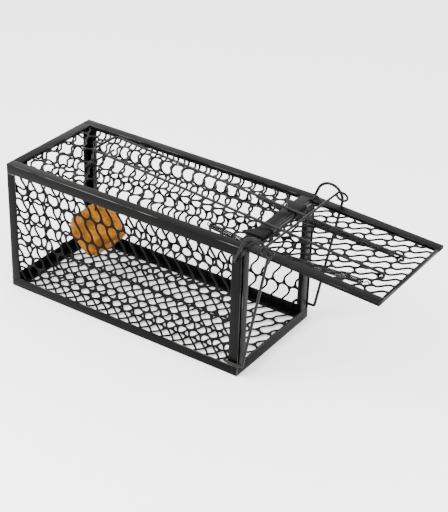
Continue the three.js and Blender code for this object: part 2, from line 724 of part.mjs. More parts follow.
// The rear end of the set rod, in the frame of the cage.
function rodRearEnd() {
  const end = new THREE.Vector3(ROD_REAR_X, 0, ROD_REAR_Z);
  end.applyAxisAngle(new THREE.Vector3(0, 1, 0), TILT);
  return [HINGE_X + end.x, HINGE_Z + end.z];
}

function baitHook(wire) {
  const x = TRIGGER_FROM_REAR;
  const [rodX, rodZ] = rodRearEnd();
  const catchZ = rodZ + (ROD_WIRE + wire) / 2 + CATCH_GAP;
  const catchTip = rodX + ROD_WIRE / 2 + CATCH_OVERLAP;
  const eyeRadius = PIVOT_WIRE / 2 + HOOK_EYE_PLAY + HOOK_WIRE / 2;
  const upper = bentPoints(
    [
      [catchTip, HOOK_Y, catchZ],
      [x, HOOK_Y, catchZ],
      [x, HOOK_Y, PIVOT_Z + eyeRadius],
    ],
    3,
  );
  return [
    wireAlong(upper, wire),
    new THREE.TorusGeometry(eyeRadius, wire / 2, 8, 16).rotateX(Math.PI / 2).translate(x, HOOK_Y, PIVOT_Z),
    rodBetween([x, HOOK_Y, PIVOT_Z - eyeRadius], [x, HOOK_Y, BAIT_Z - SPIKE_TIP], wire / 2, 8),
  ];
}

function bait() {
  const [sizeX, sizeY, sizeZ] = BAIT_SIZE;
  const lump = new THREE.SphereGeometry(0.5, 20, 14)
    .scale(sizeX, sizeY, sizeZ)
    .translate(TRIGGER_FROM_REAR, BAIT_Y, BAIT_Z);
  const bore = rodBetween(
    [TRIGGER_FROM_REAR, HOOK_Y, BAIT_Z - SPIKE_TIP - SPIKE_PLAY],
    [TRIGGER_FROM_REAR, HOOK_Y, BAIT_Z + sizeZ],
    HOOK_WIRE / 2 + SPIKE_PLAY,
    8,
  );
  return cut(lump, bore);
}

function addTrigger(cage) {
  const x = TRIGGER_FROM_REAR;
  const reach = PIVOT_LENGTH / 2;
  const pivot = rodBetween([x, -reach, PIVOT_Z], [x, reach, PIVOT_Z], PIVOT_WIRE / 2, 10);
  cage.add(piece("trigger_pivot_wire", pivot, paintedWire()));
  cage.add(piece("bait_hook", joined(...baitHook(HOOK_WIRE)), paintedWire()));
  cage.add(piece("bait", bait(), driedBait()));
}

// ---- The whole trap ----

const trap = new THREE.Group();
trap.position.x = -CENTRE_X;
addFrame(trap);
addMeshes(trap);
addHinge(trap);
for (const [word, side] of SIDES) {
  trap.add(piece(`guide_wire_${word}`, guideWire(side), paintedWire()));
}
trap.add(piece("lock_bar", lockBar(), paintedWire()));
trap.add(piece("spring_left", spring(SPRING_LEFT_Y), paintedWire()));
trap.add(piece("spring_right", spring(SPRING_RIGHT_Y), paintedWire()));
addTrigger(trap);
trap.add(buildDoor());

export default trap;
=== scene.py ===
import json
import math

import bmesh
import bpy
from bpy.props import FloatProperty, FloatVectorProperty, IntProperty, PointerProperty
from mathutils import Matrix, Quaternion, Vector, noise


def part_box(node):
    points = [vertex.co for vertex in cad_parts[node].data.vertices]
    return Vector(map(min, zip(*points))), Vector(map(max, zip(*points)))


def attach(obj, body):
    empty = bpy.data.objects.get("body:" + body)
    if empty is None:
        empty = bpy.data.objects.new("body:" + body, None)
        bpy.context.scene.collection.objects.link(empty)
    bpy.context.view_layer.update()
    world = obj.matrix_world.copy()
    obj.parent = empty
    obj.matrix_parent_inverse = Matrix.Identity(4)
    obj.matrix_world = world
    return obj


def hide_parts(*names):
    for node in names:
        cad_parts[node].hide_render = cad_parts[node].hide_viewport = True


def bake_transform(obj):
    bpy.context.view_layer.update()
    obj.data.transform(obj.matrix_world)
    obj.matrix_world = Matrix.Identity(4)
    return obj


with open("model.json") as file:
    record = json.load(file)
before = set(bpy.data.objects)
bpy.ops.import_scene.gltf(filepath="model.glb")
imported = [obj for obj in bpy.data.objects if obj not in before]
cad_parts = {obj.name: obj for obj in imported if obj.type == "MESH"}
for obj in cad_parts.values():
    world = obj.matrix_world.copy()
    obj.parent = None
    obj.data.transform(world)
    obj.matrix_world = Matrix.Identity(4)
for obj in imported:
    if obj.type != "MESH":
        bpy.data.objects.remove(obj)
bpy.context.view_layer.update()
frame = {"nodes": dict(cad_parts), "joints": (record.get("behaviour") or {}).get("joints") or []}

bl_info = {
    "name": "Live catch trap",
    "version": (1, 0, 0),
    "blender": (4, 5, 0),
    "location": "View3D > Sidebar > Trap",
    "description": "Builds the mesh cage, door, wires, springs and bait of a live catch trap",
    "category": "Object",
}

MM = 0.001
REAR_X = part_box("bottom_rail_left")[0].x
FRONT_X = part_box("bottom_rail_left")[1].x
CAGE_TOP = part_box("top_rail_left")[1].z
JOINTS = {joint["name"]: joint for joint in frame["joints"]}
HINGE = Vector(JOINTS["door_hinge"]["pos_m"])
DOOR_TILT = math.radians(3.2)
DOOR_PLACE = Matrix.Translation(HINGE) @ Matrix.Rotation(DOOR_TILT, 4, "Y")
SIDES = (("left", -1), ("right", 1))

# Places along the cage are measured from its rear, and places on the door along it from its hinge
# and over its mesh, both in millimetres.
GUIDE_LEAN = math.radians(10)
GUIDE_Y = 64.5
GUIDE_BEND = 2.4
GUIDE_FOOT = dict(start_x=256.0, start_y=57.5, end_x=276.0, z=14.0)
GUIDE_TAIL = dict(x=264.0, y=62.0, z=122.0)
CROOK_Z = 137.0
CROOK_START, CROOK_TURN, CROOK_STEPS = -10, 171, 28

LOCK_BAR_Z = 141.3
LOCK_BAR_BACK = 1.6
LOCK_EYE_TILT = math.radians(25)
LOCK_EYE_TURN, LOCK_EYE_STEPS = 322, 30

ROD_SEAT = 2.1
ROD_REACH = 113.0
ROD_LENGTH = 317.0
ROD_RISE = math.radians(1.1)
ROD_HALF_WIDTH = 18
ROD_HOLE_DEPTH = -2.2
ROD_TOE = dict(length=3.5, depth=-2.6)
ROD_FOOT_BEND = 1.3
ROD_REAR_BEND = 6

HOOK_EYE = 2.7
HOOK_BEND = 2.5
HOOK_CATCH = dict(length=3, drop=0.2)

SPRING_REAR = dict(x=216, z=130.8)
SPRING_FRONT = dict(along=107, depth=-2.85)
SPRING_Y = (("left", -37, -33), ("right", 38, 24))
SPRING_TURN = dict(back=0.5, drop=12.5, bend=8, blend=14)
SPRING_HOOK = dict(space=6, shank=2, radius=1.7, inset=1.6, turn=300)

DOOR_MESH_HALF_WIDTH = 59.0 - 0.4
DOOR_MESH_START, DOOR_MESH_END = 3.0, 130.4

STRIP_NODES = (
    "bottom_rail_left", "bottom_rail_right", "top_rail_left", "top_rail_right",
    "rear_post_left", "rear_post_right", "front_post_left", "front_post_right",
    "door_jamb_left", "door_jamb_right", "rear_bottom_rail", "rear_top_rail",
    "threshold_rail", "lintel_rail", "hinge_leaf_left", "hinge_leaf_right",
)
DOOR_STRIP_NODES = ("door_strip_left", "door_strip_right", "door_end_strip")


# ---- Settings ----


def length(name, description, millimetres):
    """A length setting, kept in metres and given here in millimetres."""
    return FloatProperty(
        name=name, description=description, default=millimetres * MM,
        min=0.0, unit="LENGTH", subtype="DISTANCE",
    )


def colour(name, description, value):
    """A colour setting."""
    return FloatVectorProperty(
        name=name, description=description, default=value,
        size=3, min=0.0, max=1.0, subtype="COLOR",
    )


class TrapFrameSettings(bpy.types.PropertyGroup):
    """Sizes of the folded strips."""

    fold: length("Fold", "Rounding of the folded and sheared edges of the strips", 0.32)


class TrapMeshSettings(bpy.types.PropertyGroup):
    """Sizes of the expanded mesh."""

    thickness: length("Thickness", "Thickness of the sheet", 1.0)
    strand: length("Strand", "Width of the strand between two openings", 1.95)
    spine: length("Spine", "Width of the waved seam between two rows", 1.8)
    border: length("Border", "Plain edge of a panel, under the strips", 1.6)
    arc_steps: IntProperty(
        name="Arc Steps", description="Faces round each end of an opening", default=10, min=4
    )
    side_steps: IntProperty(
        name="Side Steps", description="Faces along each side of an opening", default=8, min=2
    )


class TrapWireSettings(bpy.types.PropertyGroup):
    """Sizes of the bent wires."""

    wire: length("Wire", "Diameter of the hinge, pivot and hook wires", 2.2)
    guide_wire: length("Guide Wire", "Diameter of the guide wires", 2.8)
    rod_wire: length("Rod Wire", "Diameter of the set rod", 2.6)
    lock_wire: length("Lock Wire", "Diameter of the lock bar", 2.4)
    guide_crook: length("Crook", "Radius of the crook at the top of a guide wire", 13.5)
    lock_ring: length("Lock Ring", "Radius of the eyes at the ends of the lock bar", 5.4)
    sides: IntProperty(name="Sides", description="Faces round a wire", default=14, min=6)


class TrapSpringSettings(bpy.types.PropertyGroup):
    """Sizes of the door springs."""

    coil: length("Coil", "Outer diameter of the coil", 5.8)
    wire: length("Spring Wire", "Diameter of the spring wire", 1.05)
    spacing: length("Spacing", "Distance from one turn to the next", 1.22)
    turn_steps: IntProperty(name="Turn Steps", description="Steps in each turn", default=14, min=6)


class TrapBaitSettings(bpy.types.PropertyGroup):
    """Size and colours of the bait."""

    roughness: length("Lumps", "Height of the lumps on the bait", 3.4)
    flesh: colour("Flesh", "Main colour of the bait", (0.20, 0.066, 0.0))
    crust: colour("Crust", "Darker colour of its dried patches", (0.035, 0.008, 0.0))


class TrapFinishSettings(bpy.types.PropertyGroup):
    """Colours of the metal."""

    paint: colour("Paint", "Black paint on the strips and the mesh", (0.0012, 0.0012, 0.0011))
    # Lighter colour on the marked folds: worn bare steel and a painted highlight along each fold.
    bright: colour("Bright", "Bare steel that shows on worn folds", (0.09, 0.086, 0.08))
    wire: colour("Wire", "Blackened wire", (0.0022, 0.0021, 0.002))


class TrapStageSettings(bpy.types.PropertyGroup):
    """Floor and light."""

    floor: colour("Floor", "Colour of the floor", (0.9, 0.9, 0.9))
    light: FloatProperty(
        name="Light", description="Power of the main light", default=38.0, min=0.0, unit="POWER"
    )


class TrapSettings(bpy.types.PropertyGroup):
    """All settings of the trap."""

    frame: PointerProperty(type=TrapFrameSettings)
    mesh: PointerProperty(type=TrapMeshSettings)
    wire: PointerProperty(type=TrapWireSettings)
    spring: PointerProperty(type=TrapSpringSettings)
    bait: PointerProperty(type=TrapBaitSettings)
    finish: PointerProperty(type=TrapFinishSettings)
    stage: PointerProperty(type=TrapStageSettings)


# ---- Shader nodes ----


def group_sockets(tree, inputs, outputs):
    """Names the inputs, with their defaults, and the outputs of a node group."""
    for name, kind, value in inputs:
        socket = tree.interface.new_socket(name, in_out="INPUT", socket_type=kind)
        if value is not None:
            socket.default_value = value
    for name, kind in outputs:
        tree.interface.new_socket(name, in_out="OUTPUT", socket_type=kind)
    return tree.nodes.new("NodeGroupInput"), tree.nodes.new("NodeGroupOutput")


def math_node(tree, operation, *values):
    """Adds a math node whose inputs are sockets or numbers, and returns its output."""
    node = tree.nodes.new("ShaderNodeMath")
    node.operation = operation
    for socket, value in zip(node.inputs, values):
        if isinstance(value, (int, float)):
            socket.default_value = value
        else:
            tree.links.new(value, socket)
    return node.outputs[0]


def mixed_colour(tree, factor, first, second):
    """Mixes two colour sockets or values by a factor socket."""
    node = tree.nodes.new("ShaderNodeMix")
    node.data_type = "RGBA"
    tree.links.new(factor, node.inputs["Factor"])
    for name, value in (("A", first), ("B", second)):
        socket = [s for s in node.inputs if s.name == name and s.type == "RGBA"][0]
        if isinstance(value, (tuple, list)):
            socket.default_value = (*value, 1.0)
        else:
            tree.links.new(value, socket)
    return [s for s in node.outputs if s.type == "RGBA"][0]


def noise_at(tree, coordinates, scale, detail=3.0):
    """A noise pattern on the given coordinates."""
    node = tree.nodes.new("ShaderNodeTexNoise")
    node.inputs["Scale"].default_value = scale
    node.inputs["Detail"].default_value = detail
    tree.links.new(coordinates, node.inputs["Vector"])
    return node.outputs["Fac"]


def ramped(tree, value, low, high):
    """Maps a value from low..high to 0..1 with soft ends."""
    node = tree.nodes.new("ShaderNodeMapRange")
    node.interpolation_type = "SMOOTHSTEP"
    node.inputs["From Min"].default_value = low
    node.inputs["From Max"].default_value = high
    tree.links.new(value, node.inputs["Value"])
    return node.outputs["Result"]


def wear_and_highlight_group():
    """Paint that shows bare steel, which is also a painted highlight, in patches along the marked
    edges.
    """
    dust_colour, dust_share = (0.35, 0.34, 0.32), 0.004
    tree = bpy.data.node_groups.new("Worn Paint And Painted Highlight", "ShaderNodeTree")
    given, result = group_sockets(
        tree,
        [
            ("Vector", "NodeSocketVector", None),
            ("Wear", "NodeSocketFloat", 0.0),
            ("Amount", "NodeSocketFloat", 0.5),
            ("Paint", "NodeSocketColor", None),
            ("Bright", "NodeSocketColor", None),
        ],
        [("Color", "NodeSocketColor"), ("Bare and highlight", "NodeSocketFloat"), ("Dust", "NodeSocketFloat")],
    )
    patches = noise_at(tree, given.outputs["Vector"], 38.0, 4.0)
    reach = math_node(tree, "ADD", patches, given.outputs["Amount"])
    # The marked edges in noisy patches, where bare steel and a painted highlight show.
    bare_and_highlight_mask = math_node(tree, "MULTIPLY", given.outputs["Wear"], ramped(tree, reach, 0.92, 1.2))
    dust = ramped(tree, noise_at(tree, given.outputs["Vector"], 14.0, 5.0), 0.35, 0.75)
    lifted = math_node(tree, "MULTIPLY", dust, dust_share)
    dusty = mixed_colour(tree, lifted, given.outputs["Paint"], dust_colour)
    shade = mixed_colour(tree, bare_and_highlight_mask, dusty, given.outputs["Bright"])
    tree.links.new(shade, result.inputs["Color"])
    tree.links.new(bare_and_highlight_mask, result.inputs["Bare and highlight"])
    tree.links.new(dust, result.inputs["Dust"])
    return tree


def grain_group():
    """Height of the fine orange peel of brushed-on paint and of drawn wire."""
    tree = bpy.data.node_groups.new("Paint Grain", "ShaderNodeTree")
    given, result = group_sockets(
        tree,
        [("Vector", "NodeSocketVector", None), ("Scale", "NodeSocketFloat", 900.0)],
        [("Height", "NodeSocketFloat")],
    )
    node = tree.nodes.new("ShaderNodeTexNoise")
    node.inputs["Detail"].default_value = 2.0
    tree.links.new(given.outputs["Vector"], node.inputs["Vector"])
    tree.links.new(given.outputs["Scale"], node.inputs["Scale"])
    tree.links.new(node.outputs["Fac"], result.inputs["Height"])
    return tree


def group_in(tree, group, **values):
    """Places a node group and sets its inputs."""
    node = tree.nodes.new("ShaderNodeGroup")
    node.node_tree = group
    for name, value in values.items():
        socket = node.inputs[name]
        if isinstance(value, bpy.types.NodeSocket):
            tree.links.new(value, socket)
        elif isinstance(value, (tuple, list)):
            socket.default_value = (*value, 1.0)
        else:
            socket.default_value = value
    return node


def empty_material(name):
    """A node material with a bare shader, and its tree, shader and coordinates."""
    material = bpy.data.materials.new(name)
    material.use_nodes = True
    tree = material.node_tree
    tree.nodes.clear()
    shader = tree.nodes.new("ShaderNodeBsdfPrincipled")
    output = tree.nodes.new("ShaderNodeOutputMaterial")
    tree.links.new(shader.outputs[0], output.inputs[0])
    coordinates = tree.nodes.new("ShaderNodeTexCoord").outputs["Object"]
    return material, tree, shader, coordinates


def bumped(tree, shader, height, strength, distance):
    """Feeds a height into the shader's normal."""
    node = tree.nodes.new("ShaderNodeBump")
    node.inputs["Strength"].default_value = strength
    node.inputs["Distance"].default_value = distance
    tree.links.new(height, node.inputs["Height"])
    tree.links.new(node.outputs[0], shader.inputs["Normal"])


GRAIN_HEIGHT = 0.2 * MM
# The lighter orange of the bait's fine spots is a painted highlight.
BAIT_PAINTED_HIGHLIGHT = (0.42, 0.17, 0.0)
BAIT_LUMP_HEIGHT = 1.6 * MM


def metal_finish(
    name, base, bright, amount, roughness, grain_scale, specular, metallic=0.0, bump=0.25
):
    """Paint or blackening over steel, lighter where the mesh is marked: worn bare steel and a
    painted highlight.
    """
    dust_dulls, rubbing_shines, rubbing_bares = 0.16, -0.12, 0.6
    material, tree, shader, coordinates = empty_material(name)
    marked = tree.nodes.new("ShaderNodeAttribute")
    marked.attribute_name = "wear_and_highlight"
    worn_and_highlit = group_in(
        tree, bpy.data.node_groups["Worn Paint And Painted Highlight"],
        Vector=coordinates, Wear=marked.outputs["Fac"], Amount=amount,
        Paint=base, Bright=bright,
    )
    tree.links.new(worn_and_highlit.outputs["Color"], shader.inputs["Base Color"])
    dull = math_node(tree, "MULTIPLY_ADD", worn_and_highlit.outputs["Dust"], dust_dulls, roughness)
    rubbed = math_node(tree, "MULTIPLY_ADD", worn_and_highlit.outputs["Bare and highlight"], rubbing_shines, dull)
    tree.links.new(rubbed, shader.inputs["Roughness"])
    bare = math_node(tree, "MULTIPLY_ADD", worn_and_highlit.outputs["Bare and highlight"], rubbing_bares, metallic)
    tree.links.new(math_node(tree, "MINIMUM", bare, 1.0), shader.inputs["Metallic"])
    shader.inputs["Specular IOR Level"].default_value = specular
    grain = group_in(
        tree, bpy.data.node_groups["Paint Grain"], Vector=coordinates, Scale=grain_scale
    )
    bumped(tree, shader, grain.outputs["Height"], bump, GRAIN_HEIGHT)
    return material


def bait_finish(settings):
    """Dry orange-brown bait, mottled, with fine spots of painted highlight and darker crust in
    patches.
    """
    material, tree, shader, coordinates = empty_material("Dried bait")
    broad = ramped(tree, noise_at(tree, coordinates, 60.0, 4.0), 0.42, 0.66)
    fine = ramped(tree, noise_at(tree, coordinates, 420.0, 3.0), 0.35, 0.75)
    amount = math_node(tree, "MULTIPLY_ADD", fine, 0.25, math_node(tree, "MULTIPLY", broad, 0.6))
    # Fine random spots of painted highlight on the flesh.
    flesh_and_highlight = mixed_colour(tree, fine, tuple(settings.flesh), BAIT_PAINTED_HIGHLIGHT)
    shade = mixed_colour(tree, amount, flesh_and_highlight, tuple(settings.crust))
    tree.links.new(shade, shader.inputs["Base Color"])
    shader.inputs["Specular IOR Level"].default_value = 0.12
    rough = math_node(tree, "MULTIPLY_ADD", broad, 0.2, 0.5)
    tree.links.new(rough, shader.inputs["Roughness"])
    height = math_node(tree, "ADD", noise_at(tree, coordinates, 260.0, 5.0), broad)
    bumped(tree, shader, height, 0.7, BAIT_LUMP_HEIGHT)
    return material


# ---- Mesh helpers ----


def smooth_by_angle(mesh, degrees=35.0):
    """Shades a mesh smooth, with its sharp edges kept."""
    mesh.polygons.foreach_set("use_smooth", [True] * len(mesh.polygons))
    mesh.set_sharp_from_angle(angle=math.radians(degrees))
    mesh.update()


def plain_mesh(name, work):
    """Turns a working mesh into a plain one and lets the working one go."""
    mesh = bpy.data.meshes.new(name)
    work.to_mesh(mesh)
    work.free()
    return mesh


def mark_wear_and_highlight(mesh, value):
    """Gives every corner of a mesh the same wear."""
    layer = mesh.attributes.new("wear_and_highlight", "FLOAT", "CORNER")
    layer.data.foreach_set("value", [value] * len(layer.data))


def add_piece(name, mesh, finish, nodes=(), body="cage"):
    """Makes a finished piece from a mesh, and hands it to its body."""
    mesh.materials.clear()
    mesh.materials.append(bpy.data.materials[finish])
    piece = bpy.data.objects.new(name, mesh)
    bpy.context.scene.collection.objects.link(piece)
    if body:
        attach(piece, body)
    if nodes:
        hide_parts(*nodes)
    return piece


def folded_copy(node, fold, least_angle=30.0):
    """A clean copy of a sheet piece with its edges rounded and marked for worn bare steel and a
    painted highlight.
    """
    work = bmesh.new()
    work.from_mesh(frame["nodes"][node].data)
    bmesh.ops.remove_doubles(work, verts=work.verts, dist=2e-6)
    bmesh.ops.dissolve_limit(
        work, angle_limit=math.radians(0.5), verts=work.verts, edges=work.edges
    )
    wear_and_highlight = work.loops.layers.float.new("wear_and_highlight")
    sharp = [
        edge for edge in work.edges
        if len(edge.link_faces) == 2 and edge.calc_face_angle() > math.radians(least_angle)
    ]
    made = bmesh.ops.bevel(
        work, geom=sharp, offset=fold, segments=2, profile=0.6, affect="EDGES",
        clamp_overlap=True, loop_slide=True,
    )
    # Every rounded fold face is marked for bare steel and a painted highlight.
    for face in made["faces"]:
        for loop in face.loops:
            loop[wear_and_highlight] = 1.0
    bmesh.ops.triangulate(work, faces=[face for face in work.faces if len(face.verts) > 4])
    mesh = plain_mesh(node, work)
    smooth_by_angle(mesh)
    return mesh


def bent(corners, radius, steps=8):
    """Points along a wire that runs straight between corners and turns with a radius."""
    corners = [Vector(corner) for corner in corners]
    points = [corners[0]]
    for before, corner, after in zip(corners, corners[1:], corners[2:]):
        back = (before - corner).normalized()
        ahead = (after - corner).normalized()
        half = back.angle(ahead) / 2
        centre = corner + (back + ahead).normalized() * (radius / math.sin(half))
        start = corner + back * (radius / math.tan(half)) - centre
        axis = ahead.cross(back).normalized()
        for step in range(steps + 1):
            turn = Quaternion(axis, (math.pi - 2 * half) * step / steps)
            points.append(centre + turn @ start)
    points.append(corners[-1])
    return points


def wire_mesh(*paths, radius, sides, closed=False):
    """Round wire along each path of points, with chamfered ends, as one mesh."""
    end_radius, chamfer = radius * 0.7, radius * 0.3
    work = bmesh.new()
    for points in paths:
        points = [Vector(point) for point in points]
        count = len(points)
        tangents = []
        for index in range(count):
            if closed:
                before, after = points[index - 1], points[(index + 1) % count]
            else:
                before, after = points[max(index - 1, 0)], points[min(index + 1, count - 1)]
            tangents.append((after - before).normalized())
        normal = tangents[0].orthogonal().normalized()
        rings = []

        def ring_at(centre, tangent, size):
            side = tangent.cross(normal).normalized()
            up = side.cross(tangent)
            return [
                work.verts.new(centre + (up * math.cos(angle) + side * math.sin(angle)) * size)
                for angle in (math.tau * k / sides for k in range(sides))
            ]

        if not closed:
            rings.append(ring_at(points[0], tangents[0], end_radius))
            points[0] = points[0] + tangents[0] * chamfer
            last = points[-1]
            points[-1] = points[-1] - tangents[-1] * chamfer
        for index, (point, tangent) in enumerate(zip(points, tangents)):
            if index:
                turn = tangents[index - 1].rotation_difference(tangent)
                normal = turn @ normal
            rings.append(ring_at(point, tangent, radius))
        if not closed:
            rings.append(ring_at(last, tangents[-1], end_radius))
        pairs = list(zip(rings, rings[1:]))
        if closed:
            pairs.append((rings[-1], rings[0]))
        for first, second in pairs:
            for k in range(sides):
                following = (k + 1) % sides
                work.faces.new((first[k], first[following], second[following], second[k]))
        if not closed:
            work.faces.new(list(reversed(rings[0])))
            work.faces.new(rings[-1])
    bmesh.ops.recalc_face_normals(work, faces=work.faces)
    mesh = plain_mesh("wire", work)
    smooth_by_angle(mesh, 50.0)
    mark_wear_and_highlight(mesh, 0.0)
    return mesh


def joined_meshes(name, *meshes):
    """One mesh that holds the shells of several."""
    work = bmesh.new()
    for mesh in meshes:
        work.from_mesh(mesh)
    whole = plain_mesh(name, work)
    smooth_by_angle(whole, 50.0)
    return whole


def straight_wire(node, piece, radius, sides):
    """Makes a straight cross wire between the ends of its CAD node, and returns its middle."""
    low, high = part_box(node)
    middle = (low + high) / 2
    ends = [Vector((middle.x, low.y, middle.z)), Vector((middle.x, high.y, middle.z))]
    add_piece(piece, wire_mesh(ends, radius=radius, sides=sides), "Blackened wire", [node])
    return middle


def circle_points(centre, radius, across, up, start=0.0, end=360.0, steps=32):
    """Points round a circle in the plane of two directions, from one angle to another."""
    points = []
    for step in range(steps + (0 if abs(end - start) >= 360 else 1)):
        angle = math.radians(start + (end - start) * step / steps)
        points.append(centre + (across * math.cos(angle) + up * math.sin(angle)) * radius)
    return points


def cage_point(x, y, z):
    """A point in the frame of the trap from millimetres measured from the cage's rear."""
    return Vector((REAR_X + x * MM, y * MM, z * MM))


def door_point(u, y, height):
    """A point in the frame of the trap from millimetres along, across and over the door."""
    return DOOR_PLACE @ (Vector((u, y, height)) * MM)


# ---- Geometry Nodes ----


def geometry_tree(name, inputs):
    """A Geometry Nodes tree, with the sockets of its inputs and of its output."""
    tree = bpy.data.node_groups.new(name, "GeometryNodeTree")
    tree.is_modifier = True
    given, result = group_sockets(
        tree,
        [
            ("Geometry", "NodeSocketGeometry", None),
            *inputs,
            ("Material", "NodeSocketMaterial", None),
        ],
        [("Geometry", "NodeSocketGeometry")],
    )
    return tree, given.outputs, result.inputs


def end_tree(tree, geometry, given, result):
    """Ends a tree: makes its copies real and gives them the material."""
    real = linked(tree, "GeometryNodeRealizeInstances", {"Geometry": geometry})
    painted = linked(
        tree, "GeometryNodeSetMaterial",
        {"Geometry": real.outputs[0], "Material": given["Material"]},
    )
    tree.links.new(painted.outputs[0], result["Geometry"])
    return tree


def linked(tree, kind, links=(), **settings):
    """Adds a node, sets its properties, and links or sets its inputs by name or number."""
    node = tree.nodes.new(kind)
    for key, value in settings.items():
        setattr(node, key, value)
    for key, value in dict(links).items():
        if isinstance(value, bpy.types.NodeSocket):
            tree.links.new(value, node.inputs[key])
        else:
            node.inputs[key].default_value = value
    return node


def xyz(tree, x, y, z=0.0):
    """Joins three numbers or sockets to a vector."""
    return linked(tree, "ShaderNodeCombineXYZ", {"X": x, "Y": y, "Z": z}).outputs[0]


def clamped(tree, value, low, high):
    """Keeps a value between two sockets."""
    return math_node(tree, "MINIMUM", math_node(tree, "MAXIMUM", value, low), high)


def expanded_mesh_tree():
    """Sheet with openings in rows, each row moved on to start between the openings of the last."""
    number = "NodeSocketFloat"
    tree, given, result = geometry_tree(
        "Expanded Mesh",
        [
            ("Pitch", number, 0.013), ("Row", number, 0.025), ("Row Shift", number, 0.0),
            ("Start Along", number, 0.0), ("Start Across", number, 0.0),
            ("Columns", "NodeSocketInt", 20), ("Rows", "NodeSocketInt", 6),
            ("Half Length", number, 0.01), ("Half Height", number, 0.01),
            ("Low Along", number, 0.0), ("High Along", number, 0.2),
            ("Low Across", number, 0.0), ("High Across", number, 0.1),
            ("Border", number, 0.0016), ("Thickness", number, 0.001),
        ],
    )
    outline = linked(tree, "GeometryNodeMeshToCurve", {"Mesh": given["Geometry"]})
    index = tree.nodes.new("GeometryNodeInputIndex").outputs[0]
    row = math_node(tree, "FLOOR", math_node(tree, "DIVIDE", index, given["Columns"]))
    column = math_node(tree, "SUBTRACT", index, math_node(tree, "MULTIPLY", row, given["Columns"]))
    moved = math_node(tree, "MULTIPLY_ADD", row, given["Row Shift"], given["Start Along"])
    from_low = math_node(tree, "SUBTRACT", moved, given["Low Along"])
    phase = math_node(tree, "FLOORED_MODULO", from_low, given["Pitch"])
    first = math_node(tree, "MULTIPLY_ADD", given["Pitch"], -2.0, given["Low Along"])
    along = math_node(
        tree, "ADD", math_node(tree, "MULTIPLY_ADD", column, given["Pitch"], first), phase
    )
    across = math_node(tree, "MULTIPLY_ADD", row, given["Row"], given["Start Across"])
    count = math_node(tree, "MULTIPLY", given["Columns"], given["Rows"])
    points = linked(
        tree, "GeometryNodePoints", {"Count": count, "Position": xyz(tree, along, across)}
    )
    low_along = math_node(tree, "ADD", given["Low Along"], given["Border"])
    high_along = math_node(tree, "SUBTRACT", given["High Along"], given["Border"])
    low_across = math_node(tree, "ADD", given["Low Across"], given["Border"])
    high_across = math_node(tree, "SUBTRACT", given["High Across"], given["Border"])
    spot = linked(
        tree, "ShaderNodeSeparateXYZ",
        {0: tree.nodes.new("GeometryNodeInputPosition").outputs[0]},
    ).outputs
    outside = None
    for value, low, high, half in (
        (spot["X"], low_along, high_along, given["Half Length"]),
        (spot["Y"], low_across, high_across, given["Half Height"]),
    ):
        reach = math_node(tree, "SUBTRACT", half, 0.001)
        under = math_node(tree, "LESS_THAN", math_node(tree, "ADD", value, reach), low)
        over = math_node(tree, "GREATER_THAN", math_node(tree, "SUBTRACT", value, reach), high)
        either = math_node(tree, "ADD", under, over)
        outside = either if outside is None else math_node(tree, "ADD", outside, either)
    kept = linked(
        tree, "GeometryNodeDeleteGeometry",
        {"Geometry": points.outputs[0], "Selection": math_node(tree, "GREATER_THAN", outside, 0.5)},
        domain="POINT",
    )
    copies = linked(
        tree, "GeometryNodeInstanceOnPoints",
        {"Points": kept.outputs[0], "Instance": outline.outputs[0]},
    )
    loose = linked(tree, "GeometryNodeRealizeInstances", {"Geometry": copies.outputs[0]})
    place = linked(
        tree, "ShaderNodeSeparateXYZ",
        {0: tree.nodes.new("GeometryNodeInputPosition").outputs[0]},
    ).outputs
    held = xyz(
        tree,
        clamped(tree, place["X"], low_along, high_along),
        clamped(tree, place["Y"], low_across, high_across),
    )
    cut = linked(
        tree, "GeometryNodeSetPosition", {"Geometry": loose.outputs[0], "Position": held}
    )
    width = math_node(tree, "SUBTRACT", given["High Along"], given["Low Along"])
    height = math_node(tree, "SUBTRACT", given["High Across"], given["Low Across"])
    edge = linked(
        tree, "GeometryNodeCurvePrimitiveQuadrilateral", {"Width": width, "Height": height}
    )
    middle = xyz(
        tree,
        math_node(tree, "MULTIPLY_ADD", width, 0.5, given["Low Along"]),
        math_node(tree, "MULTIPLY_ADD", height, 0.5, given["Low Across"]),
    )
    sheet = linked(
        tree, "GeometryNodeTransform", {"Geometry": edge.outputs[0], "Translation": middle}
    )
    curves = tree.nodes.new("GeometryNodeJoinGeometry")
    tree.links.new(cut.outputs[0], curves.inputs[0])
    tree.links.new(sheet.outputs[0], curves.inputs[0])
    filled = linked(tree, "GeometryNodeFillCurve", {"Curve": curves.outputs[0]}, mode="TRIANGLES")
    solid = linked(
        tree, "GeometryNodeExtrudeMesh",
        {
            "Mesh": filled.outputs[0], "Offset": (0.0, 0.0, 1.0),
            "Offset Scale": given["Thickness"], "Individual": False,
        },
        mode="FACES",
    )
    back = linked(tree, "GeometryNodeFlipFaces", {"Mesh": filled.outputs[0]})
    both = tree.nodes.new("GeometryNodeJoinGeometry")
    tree.links.new(solid.outputs[0], both.inputs[0])
    tree.links.new(back.outputs[0], both.inputs[0])
    whole = linked(
        tree, "GeometryNodeMergeByDistance", {"Geometry": both.outputs[0], "Distance": 2e-6}
    )
    return end_tree(tree, whole.outputs[0], given, result)


